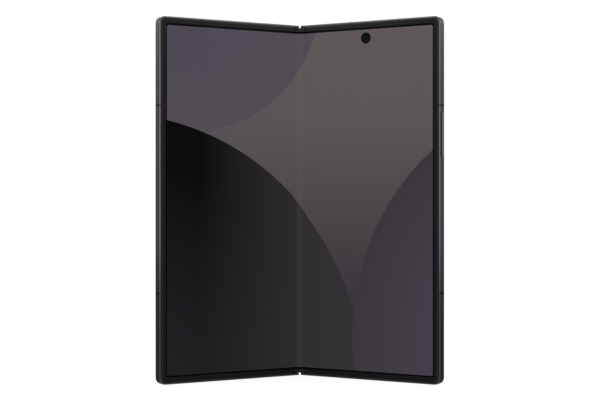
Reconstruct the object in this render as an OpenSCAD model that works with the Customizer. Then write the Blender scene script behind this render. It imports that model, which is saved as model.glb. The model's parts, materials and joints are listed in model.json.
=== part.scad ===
// Foldable smartphone with one flexible inner display, drawn partly open.
// It stands upright on the bottom edges of its two halves: +Z is up and the inner display faces -Y.
// x = 0 is the fold plane and y = 0 is the middle of the depth at the rest angle.
// Each half is drawn flat in a frame of its own and then turned about its hinge pivot: in that
// frame x runs outwards from the fold, y runs back from the front face of the rail, and z is up.

/* [Body] */
// Height of the phone
body_h = 158.4; // [156:0.1:162]
// Width of one half, from the fold plane to the outer edge
half_w = 71.6; // [71:0.1:74]
// Thickness of one half's metal frame
frame_t = 4.2; // [4.2:0.05:4.4]
// Radius of the outer corners
corner_r = 3.0; // [2.6:0.1:3.4]
// Width of the metal rail
rail_w = 1.6; // [1.5:0.05:1.8]
// Width of the chamfer along the rail's front edge, across the front
front_chamfer_w = 0.5; // [0.4:0.02:0.6]
// Depth of the chamfer along the rail's front edge
front_chamfer_d = 0.28; // [0.24:0.02:0.4]
// Rounding along the rail's back edge
back_round = 0.5; // [0.3:0.05:0.7]

/* [Fold] */
// Angle each half is turned from flat as drawn
rest_fold = 32; // [0:1:80]
// Distance of each hinge pivot from the fold plane
pivot_x = 2.0; // [2.0:0.01:2.02]
// Depth of the hinge pivots behind the rail's front face
pivot_y = 1.75; // [1.74:0.01:1.76]
// Half the gap between the two frames at the fold
hinge_gap = 0.4; // [0.35:0.01:0.45]
// Outer radius of the spine trough about each pivot
trough_r = 1.75; // [1.7:0.01:1.76]
// Wall of the spine trough
trough_wall = 0.5; // [0.4:0.05:0.55]
// Half the width of the strip of display that bends
bend_half = 4.5; // [4.2:0.1:4.5]

/* [Inner display] */
// Distance of the display panel's edge in from the phone's outer edge
panel_inset = 2.0; // [1.95:0.05:2.3]
// Depth of the display's surface behind the rail's front face
panel_front = 0.1; // [0.05:0.01:0.12]
// Thickness of the display panel
panel_t = 0.4; // [0.3:0.05:0.42]
// How far the bezel stands proud of the rail
bezel_proud = 0.2; // [0.1:0.05:0.22]
// Distance from the phone's outer edge to the bezel's outer edge
bezel_outer = 1.15; // [1:0.05:1.2]
// Distance from the phone's outer edge to the bezel's inner edge
bezel_inner = 3.05; // [3:0.05:3.4]
// Distance of the inner camera from the fold plane
punch_x = 35; // [30:0.1:40]
// Height of the inner camera
punch_z = 150.9; // [150.5:0.1:151.3]
// Radius of the inner camera's hole in the display
punch_r = 2.5; // [2:0.1:2.5]

/* [Keys and openings] */
// Height of the volume key's middle
volume_z = 107.45; // [106:0.05:108]
// Length of the volume key
volume_len = 18.9; // [16:0.1:19]
// How far the volume key stands proud
volume_proud = 0.65; // [0.1:0.05:0.7]
// Height of the side key's middle
side_key_z = 85.75; // [84:0.05:87]
// Length of the side key
side_key_len = 13.1; // [12:0.1:14]
// Height of the keys across the thickness
key_h = 1.3; // [1.2:0.1:1.8]
// Distance of the charging port from the fold plane
port_x = 35.8; // [35:0.1:37]
// Width of the port's opening
port_w = 8.4; // [8.34:0.01:8.5]
// Height of the port's opening across the thickness
port_h = 2.6; // [2.56:0.01:2.6]
// Distance of the card tray's middle from the fold plane
tray_x = 61.0; // [60.5:0.1:61.2]
// Width of the card tray
tray_w = 13.0; // [12.6:0.1:13.2]
// Length of the card tray
tray_len = 19.4; // [16:0.1:20]

/* [Rear camera] */
// Distance of the lenses from the fold plane
lens_x = 60.0; // [59:0.1:60.2]
// Height of the middle lens
lens_z = 126.5; // [126:0.1:127]
// Distance between the lenses
lens_pitch = 16.5; // [16:0.1:17]
// Radius of the camera island's round ends
island_r = 8.5; // [8:0.1:8.6]
// How far the island stands proud of the rear cover
island_proud = 1.7; // [1.2:0.1:2]
// Radius of a lens ring
ring_r = 6.8; // [6.5:0.1:7]
// How far a lens ring stands proud of the island
ring_proud = 1.0; // [0.6:0.1:1.2]

/* [Hidden] */
$fn = 48;

// Small overlap that keeps cutters clear of the faces they pass through
eps = 1;
// Clearance between sheets that lie in one recess
fit_gap = 0.05;

// Rail section
rail_lip = bezel_outer - fit_gap;
bezel_seat = panel_front + panel_t;
cover_lip = 0.8;
cover_t = 0.6;
seal_t = 0.1;
cover_front = frame_t - cover_t;
seal_front = cover_front - seal_t;

// Hinge end of each half
arm_t = 1.0;
arm_end_r = pivot_x - hinge_gap;
trough_gap = 0.15;
wall_x = pivot_x + trough_r + trough_gap;
wall_t = 0.6;
wall_end = wall_x + wall_t;
tie_in = 0.5;
bezel_start = 4.0;
plate_start = 6.2;

// Stack behind the display
support_t = 0.2;
mid_front = bezel_seat + support_t;
mid_t = 0.5;
mid_back = mid_front + mid_t;
bay_front = mid_back + 0.1;
bay_back = seal_front - 0.1;

// Spine
spine_end = 1.15;
spine_h = body_h - 2 * spine_end;
trough_top = pivot_y + 0.1;
trough_in_r = trough_r - trough_wall;
cap_half = 2.3;
cap_front = 0.15;
cap_h = 1.75;
cap_gap = 0.15;
fold_end = spine_end + cap_h + cap_gap;
strip_screw_end = pivot_y + trough_in_r + 0.25;

// Hinge modules, each one pivot pin long
module_z = [20, 113.4];
module_h = 25;
lug_h = 2;
lug_r = 1.15;
lug_top = 1.0;
strip_half = 0.8;
strip_top = pivot_y + 0.7;
strip_screw_z = [17, 21];
strip_screw_r = 0.3;
strip_head_r = 0.55;
strip_head_h = 0.3;
keeper_z = 4.2;
keeper_h = 1.0;
pin_r = 0.4;
pin_short = 0.1;
pin_bore = 0.43;
pin_hold = 0.42;
idler_pin_r = 0.2;
idler_bore = 0.23;
idler_hold = 0.21;

// Gears of the fold: two on the arms and two idlers between them
gear_module = 0.1;
arm_teeth = 18;
idler_teeth = 11;
idler_pitch_r = gear_module * idler_teeth / 2;
addendum = 0.08;
dedendum = 0.105;
backlash = 0.035;
flank = 20;
gear_z = 2.1;
gear_h = 2.0;
idler_h = 1.9;

// Hinge arms
arm_front = mid_back;
arm_plate_t = 0.5;
arm_end_x = 14;
arm_top_z = 12;
arm_screw_x = [8.6, 12.2];
arm_screw_z = 7;
arm_screw_r = 0.5;
arm_head_r = 0.9;
arm_head_t = 0.3;
arm_back = arm_front + arm_plate_t;
arm_screw_clear = 0.03;
head_slot = [1.1, 0.3, 0.25];

// Detents and springs on the pivot pins
cam_z = 12.1;
cam_h = 2.5;
cam_r = 1.1;
spring_z = 14.7;
spring_h = 8.2;
spring_in = 0.6;
spring_out = 0.95;

// Rail openings
antenna_w = 0.6;
antenna_depth = 1.0;
antenna_x = [27.0, 51.7];
antenna_z = [body_h / 2 - 39.95, body_h / 2 + 40.85];
key_y = 1.95;
key_clear = 0.2;
key_flange_t = 0.3;
key_flange_over = 0.6;
key_flange_x = half_w - rail_w - 0.6;
key_pivot_r = 0.35;
switch_front = 1.4;
switch_back = 3.0;
switch_x = 68.3;
switch_h = 3.2;
switch_gap = 0.25;
switch_z = [side_key_z, volume_z - 5, volume_z + 5];
key_stop_h = 2.4;
key_stop_gap = 0.1;
slot_w = 1.6;
slot_h = 0.8;
slot_pitch = 2.2;
speaker_slots = [for (i = [0 : 4]) 55.4 + i * slot_pitch];
earpiece_slots = [for (i = [0 : 3]) 16.5 + i * slot_pitch];
mic_r = 0.4;
mic_x = 22;
port_mic_x = 44.8;
ear_mic_x = 46;
mid_y = (bezel_seat + seal_front) / 2;
port_y = frame_t / 2;
port_depth = 6.6;
port_end = rail_w + port_depth;
port_room = 4.6;
port_wall = 0.1;
port_floor = 0.4;
tongue_w = 6.65;
tongue_t = 0.7;
tongue_proud = 0.6;
tongue_short = 0.2;
tray_y = 2.2;
tray_h = 1.0;
tray_clear = 0.06;
tray_face_t = 1.5;
tray_plate_w = 12.6;
tray_plate_t = 0.8;
tray_window_half = 5.4;
tray_window = [2.7, tray_len - 4.6];
release_x = 53.1;
release_r = 0.6;
reader_front = 1.5;
reader_back = 3.0;
reader_wall = 0.15;
reader_w = tray_w + 0.2;
reader_deep = 1.0;

// Punch holes, camera parts and the card reader
camera_gap = 0.1;
flash_x = 47;
flash_z = 143;
flash_r = 2.0;
flash_gap = 0.03;
cover_cam_x = 37.6;
cover_cam_z = 152;
cover_cam_r = 1.9;
lens_zs = [lens_z - lens_pitch, lens_z, lens_z + lens_pitch];
lens_bore = 4.75;
lens_barrel_r = 4.6;
ring_in = 5.4;
lens_fit = 0.02;
lens_glass_t = 0.7;
island_front = seal_front - 0.1;
island_back = frame_t + island_proud;
flange_over = 0.8;

// Areas of the parts behind the midplate, each from its lower inner to its upper outer corner
magnet_areas = [[[68.2, 30], [69.6, 42]], [[68.2, 62], [69.6, 74]]];
magnet_back = 3.0;
board_areas = [[[15.5, 93], [50, 146]], [[49, 93], [66, 99]]];
board_t = 0.6;
board_hole_r = 0.8;
board_hole_x = [18, 47];
board_hole_z = 143.5;
shield_areas = [[[18, 95], [44, 113]], [[18, 116], [44, 128]], [[18, 130], [44, 141]]];
shield_wall = 0.2;
shield_back = 3.1;
main_battery_area = [[16, 22], [67.5, 90]];
charge_board_area = [[18, 8.6], [44, 19.5]];
charge_board_t = 0.4;
charge_chip_area = [[20, 14], [28, 18]];
charge_chip_back = 2.5;
speaker_area = [[47, 2.2], [66.5, 18]];
motor_area = [[6.5, 4], [16.5, 14]];
motor_back = 3.2;
earpiece_area = [[15.5, 141], [31, 156.2]];
earpiece_back = 3.1;
cover_battery_area = [[16, 24], [67.5, 120]];
cover_battery_back = 3.2;
sub_board_area = [[16, 123], [52, 138]];
sub_board_t = 0.5;
sub_shield_area = [[24, 126], [42, 135]];
sub_shield_back = 2.7;
sub_hole_x = [18, 50];
sub_hole_z = 125;
cover_display_area = [[5.6, 2.6], [69.4, 155.8]];
cover_display_t = 0.3;
coil_x = 42;
coil_z = 58;
coil_in_r = 10;
coil_out_r = 20;
coil_gap = 0.02;

// A point of the right half turned from flat about its pivot by angle a, seen from above
function turned(p, a) = [
    pivot_x + (p[0] - pivot_x) * cos(a) + (p[1] - pivot_y) * sin(a),
    pivot_y - (p[0] - pivot_x) * sin(a) + (p[1] - pivot_y) * cos(a),
];
function smooth(t) = t * t * (3 - 2 * t);
// A point of the bending display, x along the flat display and y through its thickness
function bent(x, y) =
    let (p = turned([abs(x), y], rest_fold * smooth(min(1, abs(x) / bend_half))))
    [sign(x) * p[0], p[1]];

// Depth of the phone as drawn, from the rails' front edges to the frames' back edges at the fold
depth_front = min(
    turned([half_w - front_chamfer_w, 0], rest_fold)[1],
    turned([half_w, front_chamfer_d], rest_fold)[1]
);
depth_back = turned([hinge_gap, frame_t], rest_fold)[1];
y_shift = -(depth_front + depth_back) / 2;

metal = [0.20, 0.21, 0.24];
dark = [0.10, 0.10, 0.11];
steel = [0.62, 0.63, 0.65];
black = [0.05, 0.05, 0.06];
board_green = [0.10, 0.24, 0.18];
display_tone = [0.30, 0.28, 0.30];
glass_tone = [0.13, 0.14, 0.16];
battery_tone = [0.16, 0.17, 0.20];
copper = [0.72, 0.45, 0.25];

// ---- Frames of the bodies ----

module spine() {
    translate([0, y_shift, 0])
        children();
}

module right_half() {
    translate([pivot_x, pivot_y + y_shift, 0])
        rotate([0, 0, -rest_fold])
            translate([-pivot_x, -pivot_y, 0])
                children();
}

module left_half() {
    mirror([1, 0, 0])
        right_half()
            children();
}

// ---- Shapes that repeat ----

// A sheet from y = a to y = b whose outline is drawn as x and z
module slab(a, b) {
    translate([0, b, 0])
        rotate([90, 0, 0])
            linear_extrude(b - a)
                children();
}

// The outline of a half, set in by inset on its three outer sides and cut off at x0
module half_outline(inset, x0, r) {
    x1 = half_w - inset;
    z0 = inset;
    z1 = body_h - inset;
    translate([x0, z0])
        square([x1 - r - x0, z1 - z0]);
    translate([x0, z0 + r])
        square([x1 - x0, z1 - z0 - 2 * r]);
    for (z = [z0 + r, z1 - r])
        translate([x1 - r, z])
            circle(r);
}

// A box from one corner to the other
module block(from, to) {
    translate(from)
        cube(to - from);
}

// A block of a half's inside, whose area is drawn as x and z, from y = a to y = b
module inner_block(area, a, b) {
    block([area[0][0], a, area[0][1]], [area[1][0], b, area[1][1]]);
}

// A bar along x with round ends above and below, as a key or its slot
module key_bar(z, len, h, x0, x1) {
    translate([x0, key_y - h / 2, z - (len - h) / 2])
        cube([x1 - x0, h, len - h]);
    for (s = [-1, 1])
        translate([x0, key_y, z + s * (len - h) / 2])
            rotate([0, 90, 0])
                cylinder(r = h / 2, h = x1 - x0);
}

// A bar along z with round ends left and right, as a port or a speaker slot
module port_bar(x, y, w, h, z0, z1) {
    translate([x - (w - h) / 2, y - h / 2, z0])
        cube([w - h, h, z1 - z0]);
    for (s = [-1, 1])
        translate([x + s * (w - h) / 2, y, z0])
            cylinder(r = h / 2, h = z1 - z0);
}

// A round hole through the rail at the bottom end
module end_hole(x, y, r) {
    translate([x, y, -eps])
        cylinder(r = r, h = rail_w + 2 * eps);
}

// A round bar along y
module round_bar(x, z, r, a, b) {
    translate([x, b, z])
        rotate([90, 0, 0])
            cylinder(r = r, h = b - a);
}

// Copies a bottom feature to the top edge
module at_top() {
    translate([0, 0, body_h])
        mirror([0, 0, 1])
            children();
}

module at_both_ends() {
    children();
    at_top()
        children();
}

// ---- Frame ----

// The rail's section as distance in from the outer face and distance back from the front
rail_section = concat(
    [
        [0, front_chamfer_d], [front_chamfer_w, 0], [rail_lip, 0], [rail_lip, bezel_seat],
        [rail_w, bezel_seat], [rail_w, seal_front], [cover_lip, seal_front], [cover_lip, frame_t],
    ],
    [
        for (a = [0 : 15 : 90])
            back_round * [1 - sin(a), cos(a)] + [0, frame_t - back_round]
    ]
);

module rail() {
    translate([0, 0, corner_r])
        linear_extrude(body_h - 2 * corner_r)
            polygon([for (p = rail_section) [half_w - p[0], p[1]]]);
    at_both_ends() {
        translate([hinge_gap, 0, 0])
            rotate([90, 0, 90])
                linear_extrude(half_w - corner_r - hinge_gap)
                    polygon([for (p = rail_section) [p[1], p[0]]]);
        translate([half_w - corner_r, 0, corner_r])
            rotate([-90, 0, 0])
                rotate_extrude(angle = 90)
                    polygon([for (p = rail_section) [corner_r - p[0], p[1]]]);
    }
}

module antenna_cuts() {
    for (z = antenna_z)
        translate([half_w - antenna_depth, -eps, z - antenna_w / 2])
            cube([antenna_depth + eps, frame_t + 2 * eps, antenna_w]);
    at_both_ends()
        for (x = antenna_x)
            translate([x - antenna_w / 2, -eps, -eps])
                cube([antenna_w, frame_t + 2 * eps, antenna_depth + eps]);
}

module antenna_breaks() {
    intersection() {
        rail();
        antenna_cuts();
    }
}

// Rail, thin end arms over the spine, and the rail along the fold that closes the half
module half_frame() {
    difference() {
        rail();
        antenna_cuts();
        at_both_ends() {
            // Room for the spine behind the thin end arms
            block([-eps, -eps, arm_t], [wall_end, cover_front, rail_w + eps]);
            // The arm's front corner is round about the pivot
            difference() {
                block([-eps, -eps, -eps], [pivot_x, pivot_y, rail_w + eps]);
                translate([pivot_x, pivot_y, -2 * eps])
                    cylinder(r = arm_end_r, h = rail_w + 4 * eps);
            }
        }
    }
    block([hinge_gap, cover_front, tie_in], [wall_end, frame_t, body_h - tie_in]);
    block([wall_x, pivot_y, tie_in], [wall_end, frame_t, body_h - tie_in]);
}

module bezel() {
    slab(-bezel_proud, panel_front)
        difference() {
            half_outline(bezel_outer, bezel_start, corner_r - bezel_outer);
            half_outline(bezel_inner, bezel_start - eps, 0.8);
        }
    slab(panel_front, bezel_seat)
        difference() {
            half_outline(bezel_outer, bezel_start, corner_r - bezel_outer);
            half_outline(panel_inset - fit_gap, bezel_start - eps, corner_r - panel_inset);
        }
}

module display_panel() {
    slab(panel_front, bezel_seat)
        half_outline(panel_inset, bend_half, corner_r - panel_inset);
}

module display_support() {
    slab(bezel_seat, mid_front)
        half_outline(panel_inset, bend_half, corner_r - panel_inset);
}

module midplate() {
    slab(mid_front, mid_back)
        half_outline(rail_w, plate_start, corner_r - rail_w);
}

module cover_sheet() {
    slab(cover_front, frame_t)
        half_outline(cover_lip + fit_gap, wall_end + fit_gap, corner_r - cover_lip - fit_gap);
}

module cover_seal() {
    slab(seal_front, cover_front)
        difference() {
            half_outline(cover_lip + fit_gap, wall_end + fit_gap, corner_r - cover_lip - fit_gap);
            half_outline(rail_w, wall_end + 0.5, corner_r - rail_w);
        }
}

module magnets() {
    for (area = magnet_areas)
        inner_block(area, bay_front, magnet_back);
}

// ---- Hinge ----

// A spur gear's outline, with one tooth at angle phase
module gear_outline(teeth, phase) {
    pitch_r = gear_module * teeth / 2;
    half_tooth = (PI * gear_module / 2 - backlash) / 2;
    profile = [
        [pitch_r - dedendum, half_tooth + dedendum * tan(flank)],
        [pitch_r, half_tooth],
        [pitch_r + addendum, half_tooth - addendum * tan(flank)],
    ];
    polygon([
        for (i = [0 : teeth - 1])
            for (s = [-1, 1])
                for (k = [0 : 2])
                    let (
                        q = profile[s < 0 ? k : 2 - k],
                        a = phase + i * 360 / teeth + s * q[1] / q[0] * 180 / PI
                    )
                    q[0] * [cos(a), sin(a)]
    ]);
}

// The two hinge arms of one half, each with its barrel, its gear and its plate
module hinge_arms(phase) {
    for (z = module_z)
        difference() {
            union() {
                translate([pivot_x, pivot_y, z + gear_z + gear_h])
                    cylinder(r = lug_r, h = arm_top_z - gear_z - gear_h);
                translate([pivot_x, pivot_y, z + gear_z])
                    linear_extrude(gear_h)
                        gear_outline(arm_teeth, phase);
                block(
                    [pivot_x, arm_front, z + gear_z],
                    [arm_end_x, arm_back, z + arm_top_z]
                );
            }
            translate([pivot_x, pivot_y, z])
                cylinder(r = pin_bore, h = module_h);
            for (x = arm_screw_x)
                round_bar(x, z + arm_screw_z, arm_screw_r + arm_screw_clear, 0, frame_t);
        }
}

module arm_screws() {
    for (z = module_z)
        for (x = arm_screw_x)
            difference() {
                union() {
                    round_bar(x, z + arm_screw_z, arm_screw_r, mid_front, arm_back);
                    round_bar(x, z + arm_screw_z, arm_head_r, arm_back, arm_back + arm_head_t);
                }
                // Cross slots in the head
                for (a = [0, 90])
                    translate([x, arm_back + arm_head_t, z + arm_screw_z])
                        rotate([0, a, 0])
                            cube(head_slot, center = true);
            }
}

module arm_screw_holes() {
    for (z = module_z)
        for (x = arm_screw_x)
            round_bar(x, z + arm_screw_z, arm_screw_r, -eps, frame_t);
}

// The trough's section: two round corners about the pivots, open at the front
module trough_outline(r) {
    intersection() {
        union() {
            for (s = [-1, 1])
                translate([s * pivot_x, pivot_y])
                    circle(r);
            translate([-pivot_x, pivot_y])
                square([2 * pivot_x, r]);
        }
        translate([-2 * pivot_x, trough_top])
            square([4 * pivot_x, 2 * r]);
    }
}

// The trough's inside, cut through to the front
module trough_inside() {
    for (s = [-1, 1])
        translate([s * pivot_x, pivot_y])
            circle(trough_in_r);
    translate([-pivot_x, 0])
        square([2 * pivot_x, pivot_y + trough_in_r]);
    translate([-pivot_x - trough_in_r, 0])
        square([2 * (pivot_x + trough_in_r), pivot_y]);
}

module hinge_spine_cover() {
    color(metal)
        spine()
            translate([0, 0, spine_end])
                difference() {
                    linear_extrude(spine_h)
                        trough_outline(trough_r);
                    translate([0, 0, -eps])
                        linear_extrude(spine_h + 2 * eps)
                            trough_inside();
                    for (z = module_z)
                        for (k = strip_screw_z)
                            translate([0, 0, z + k - spine_end])
                                rotate([-90, 0, 0])
                                    cylinder(r = strip_screw_r, h = strip_screw_end + fit_gap);
                }
}

module hinge_end_caps() {
    color(dark)
        spine()
            at_both_ends()
                translate([0, 0, spine_end]) {
                    linear_extrude(cap_h)
                        intersection() {
                            union() {
                                for (s = [-1, 1])
                                    translate([s * pivot_x, pivot_y])
                                        circle(trough_in_r - fit_gap);
                                translate([-pivot_x, pivot_y])
                                    square([2 * pivot_x, trough_in_r - fit_gap]);
                            }
                            translate([-2 * pivot_x, pivot_y])
                                square([4 * pivot_x, 2 * trough_r]);
                        }
                    translate([-cap_half, cap_front, 0])
                        cube([2 * cap_half, pivot_y - cap_front, cap_h]);
                }
}

module lug(h) {
    linear_extrude(h)
        difference() {
            union() {
                for (s = [-1, 1])
                    translate([s * pivot_x, pivot_y])
                        circle(lug_r);
                translate([-pivot_x, lug_top])
                    square([2 * pivot_x, pivot_y + trough_in_r - lug_top]);
            }
            for (s = [-1, 1]) {
                translate([s * pivot_x, pivot_y])
                    circle(pin_hold);
                translate([s * idler_pitch_r, pivot_y])
                    circle(idler_hold);
            }
        }
}

module hinge_brackets() {
    color(steel)
        spine()
            for (z = module_z)
                translate([0, 0, z])
                    difference() {
                        union() {
                            lug(lug_h);
                            translate([0, 0, module_h - lug_h])
                                lug(lug_h);
                            block(
                                [-strip_half, strip_top, 0],
                                [strip_half, pivot_y + trough_in_r, module_h]
                            );
                            block(
                                [-strip_half, lug_top, keeper_z],
                                [strip_half, pivot_y + trough_in_r, keeper_z + keeper_h]
                            );
                        }
                        for (s = [-1, 1])
                            translate([s * idler_pitch_r, pivot_y, -eps])
                                cylinder(r = idler_hold, h = keeper_z + keeper_h + 2 * eps);
                        for (k = strip_screw_z)
                            translate([0, 0, k])
                                rotate([-90, 0, 0])
                                    cylinder(r = strip_screw_r, h = frame_t);
                    }
}

module pivot_pins() {
    color(steel)
        spine()
            for (z = module_z)
                for (s = [-1, 1])
                    translate([s * pivot_x, pivot_y, z + pin_short])
                        cylinder(r = pin_r, h = module_h - 2 * pin_short);
}

module idler_pins() {
    color(steel)
        spine()
            for (z = module_z)
                for (s = [-1, 1])
                    translate([s * idler_pitch_r, pivot_y, z + pin_short])
                        cylinder(r = idler_pin_r, h = keeper_z + keeper_h - 2 * pin_short);
}

module idler_gears(side) {
    spine()
        for (z = module_z)
            translate([side * idler_pitch_r, pivot_y, z + gear_z])
                linear_extrude(idler_h)
                    difference() {
                        gear_outline(idler_teeth, 180 / idler_teeth);
                        circle(idler_bore);
                    }
}

module idler_gears_right() {
    color(steel)
        idler_gears(1);
}

module idler_gears_left() {
    color(steel)
        idler_gears(-1);
}

module pin_sleeves(z0, h, inner, outer) {
    for (z = module_z)
        for (s = [-1, 1])
            translate([s * pivot_x, pivot_y, z + z0])
                difference() {
                    cylinder(r = outer, h = h);
                    translate([0, 0, -eps])
                        cylinder(r = inner, h = h + 2 * eps);
                }
}

module detent_cams() {
    color(steel)
        spine()
            pin_sleeves(cam_z, cam_h, pin_bore, cam_r);
}

module detent_springs() {
    color(steel)
        spine()
            pin_sleeves(spring_z, spring_h, spring_in, spring_out);
}

module hinge_screws() {
    color(steel)
        spine()
            for (z = module_z)
                for (k = strip_screw_z)
                    translate([0, 0, z + k])
                        rotate([-90, 0, 0]) {
                            translate([0, 0, strip_top])
                                cylinder(r = strip_screw_r, h = strip_screw_end - strip_top);
                            translate([0, 0, strip_top - strip_head_h])
                                cylinder(r = strip_head_r, h = strip_head_h);
                        }
}

// The flat cable crosses the trough in a slack loop behind the display
cable_t = 0.15;
cable_z = 74;
cable_w = 10.4;
cable_half = concat(
    [[0, 2.75], [0.9, 2.7], [1.7, 2.45], [2.4, 1.9]],
    [for (x = [3.6, 4.4, 5.4, 9.4]) turned([x, 1.45], rest_fold)]
);
cable_path = concat(
    [for (i = [len(cable_half) - 1 : -1 : 1]) [-cable_half[i][0], cable_half[i][1]]],
    cable_half
);
// A path's point i moved sideways by d
function beside(path, i, d) =
    let (
        a = path[max(0, i - 1)],
        b = path[min(len(path) - 1, i + 1)],
        n = [a[1] - b[1], b[0] - a[0]] / norm(b - a)
    )
    path[i] + d * n;

module hinge_flex_cable() {
    last = len(cable_path) - 1;
    color(copper)
        spine()
            translate([0, 0, cable_z])
                linear_extrude(cable_w)
                    polygon(concat(
                        [for (i = [0 : last]) beside(cable_path, i, cable_t / 2)],
                        [for (i = [last : -1 : 0]) beside(cable_path, i, -cable_t / 2)]
                    ));
}

module inner_display_fold() {
    steps = 16;
    color(display_tone)
        spine()
            translate([0, 0, fold_end])
                linear_extrude(body_h - 2 * fold_end)
                    polygon(concat(
                        [for (i = [-steps : steps]) bent(bend_half * i / steps, panel_front)],
                        [for (i = [steps : -1 : -steps]) bent(bend_half * i / steps, bezel_seat)]
                    ));
}

// ---- Main half, on the right ----

module main_frame() {
    x0 = half_w - rail_w - eps;
    x1 = half_w + eps;
    color(metal)
        right_half()
            difference() {
                half_frame();
                key_bar(volume_z, volume_len + 2 * key_clear, key_h + 2 * fit_gap, x0, x1);
                key_bar(side_key_z, side_key_len + 2 * key_clear, key_h + 2 * fit_gap, x0, x1);
                port_bar(port_x, port_y, port_w, port_h, -eps, rail_w + eps);
                for (x = speaker_slots)
                    port_bar(x, mid_y, slot_w, slot_h, -eps, rail_w + eps);
                for (x = [mic_x, port_mic_x])
                    end_hole(x, mid_y, mic_r);
            }
}

module main_midplate() {
    color(steel)
        right_half()
            difference() {
                midplate();
                round_bar(punch_x, punch_z, punch_r + camera_gap, -eps, frame_t);
                block([port_x - port_room, -eps, 0], [port_x + port_room, frame_t, port_end + camera_gap]);
                arm_screw_holes();
            }
}

module main_bezel() {
    color(dark)
        right_half()
            bezel();
}

module main_antenna_breaks() {
    color(dark)
        right_half()
            antenna_breaks();
}

module main_hinge_arms() {
    color(steel)
        right_half()
            hinge_arms(rest_fold);
}

module main_arm_screws() {
    color(steel)
        right_half()
            arm_screws();
}

module inner_display_right() {
    color(display_tone)
        right_half()
            difference() {
                display_panel();
                round_bar(punch_x, punch_z, punch_r, -eps, frame_t);
            }
}

module display_support_right() {
    color(steel)
        right_half()
            difference() {
                display_support();
                round_bar(punch_x, punch_z, punch_r + camera_gap, -eps, frame_t);
            }
}

module inner_camera() {
    side = 3.5;
    back = 3.2;
    lens_sunk = 0.03;
    color(black)
        right_half() {
            round_bar(punch_x, punch_z, punch_r - fit_gap, panel_front + lens_sunk, bay_front);
            block(
                [punch_x - side, bay_front, punch_z - side],
                [punch_x + side, back, punch_z + side]
            );
        }
}

module island_outline(r) {
    for (z = [lens_zs[0], lens_zs[2]])
        translate([lens_x, z])
            circle(r);
    translate([lens_x - r, lens_zs[0]])
        square([2 * r, 2 * lens_pitch]);
}

module rear_cover() {
    color(glass_tone)
        right_half()
            difference() {
                cover_sheet();
                slab(-eps, frame_t + eps)
                    island_outline(island_r + fit_gap);
                round_bar(flash_x, flash_z, flash_r, -eps, frame_t + eps);
            }
}

module rear_cover_seal() {
    color(black)
        right_half()
            cover_seal();
}

module camera_island() {
    color(metal)
        right_half()
            difference() {
                union() {
                    slab(island_front, island_back)
                        island_outline(island_r);
                    slab(island_front, cover_front)
                        island_outline(island_r + flange_over);
                }
                for (z = lens_zs)
                    round_bar(lens_x, z, lens_bore, 0, island_back + eps);
            }
}

module camera_lens_rings() {
    color(metal)
        right_half()
            for (z = lens_zs)
                difference() {
                    round_bar(lens_x, z, ring_r, island_back, island_back + ring_proud);
                    round_bar(lens_x, z, ring_in, 0, island_back + ring_proud + eps);
                }
}

module camera_lens_glasses() {
    color(black)
        right_half()
            for (z = lens_zs)
                round_bar(lens_x, z, ring_in - lens_fit, island_back, island_back + lens_glass_t);
}

module camera_modules() {
    side = 5.2;
    shoulder = 3.3;
    barrel_short = 0.2;
    color(black)
        right_half()
            for (z = lens_zs) {
                block([lens_x - side, bay_front, z - side], [lens_x + side, shoulder, z + side]);
                round_bar(lens_x, z, lens_barrel_r, shoulder, island_back - barrel_short);
            }
}

module flash_lens() {
    color([0.85, 0.84, 0.78])
        right_half()
            round_bar(flash_x, flash_z, flash_r - flash_gap, seal_front, frame_t);
}

module main_board() {
    color(board_green)
        right_half()
            difference() {
                for (area = board_areas)
                    inner_block(area, bay_front, bay_front + board_t);
                for (x = board_hole_x)
                    round_bar(x, board_hole_z, board_hole_r, 0, frame_t);
            }
}

module board_shields() {
    inset = shield_wall * [1, 1];
    color(steel)
        right_half()
            for (area = shield_areas)
                difference() {
                    inner_block(area, bay_front + board_t, shield_back);
                    inner_block([area[0] + inset, area[1] - inset], 0, shield_back - shield_wall);
                }
}

module main_battery() {
    color(battery_tone)
        right_half()
            inner_block(main_battery_area, bay_front, bay_back);
}

module charging_coil() {
    color(copper)
        right_half()
            difference() {
                round_bar(coil_x, coil_z, coil_out_r, bay_back + coil_gap, cover_front - coil_gap);
                round_bar(coil_x, coil_z, coil_in_r, 0, frame_t);
            }
}

module charging_board() {
    color(board_green)
        right_half() {
            inner_block(charge_board_area, bay_front, bay_front + charge_board_t);
            inner_block(charge_chip_area, bay_front, charge_chip_back);
        }
}

module usb_c_receptacle() {
    w = port_w + 2 * port_wall;
    h = port_h + 2 * port_wall;
    color(steel)
        right_half() {
            difference() {
                port_bar(port_x, port_y, w, h, rail_w, port_end);
                port_bar(port_x, port_y, port_w, port_h, 0, port_end - port_floor);
            }
            block(
                [port_x - tongue_w / 2, port_y - tongue_t / 2, rail_w - tongue_proud],
                [port_x + tongue_w / 2, port_y + tongue_t / 2, port_end - tongue_short]
            );
        }
}

module bottom_speaker() {
    color(black)
        right_half()
            inner_block(speaker_area, bay_front, bay_back);
}

module vibration_motor() {
    color(steel)
        right_half()
            inner_block(motor_area, bay_front, motor_back);
}

// A key: a cap that passes through the rail and a longer flange behind it
module key_body(z, len, top) {
    key_bar(z, len, key_h, key_flange_x + key_flange_t, top);
    key_bar(z, len + 2 * key_flange_over, key_h, key_flange_x, key_flange_x + key_flange_t);
}

module volume_key() {
    color(metal)
        right_half() {
            key_body(volume_z, volume_len, half_w + volume_proud);
            // Round pivot that the key rocks on
            round_bar(key_flange_x, volume_z, key_pivot_r, key_y - key_h / 2, key_y + key_h / 2);
        }
}

module side_key() {
    color(metal)
        right_half()
            key_body(side_key_z, side_key_len, half_w);
}

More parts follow.
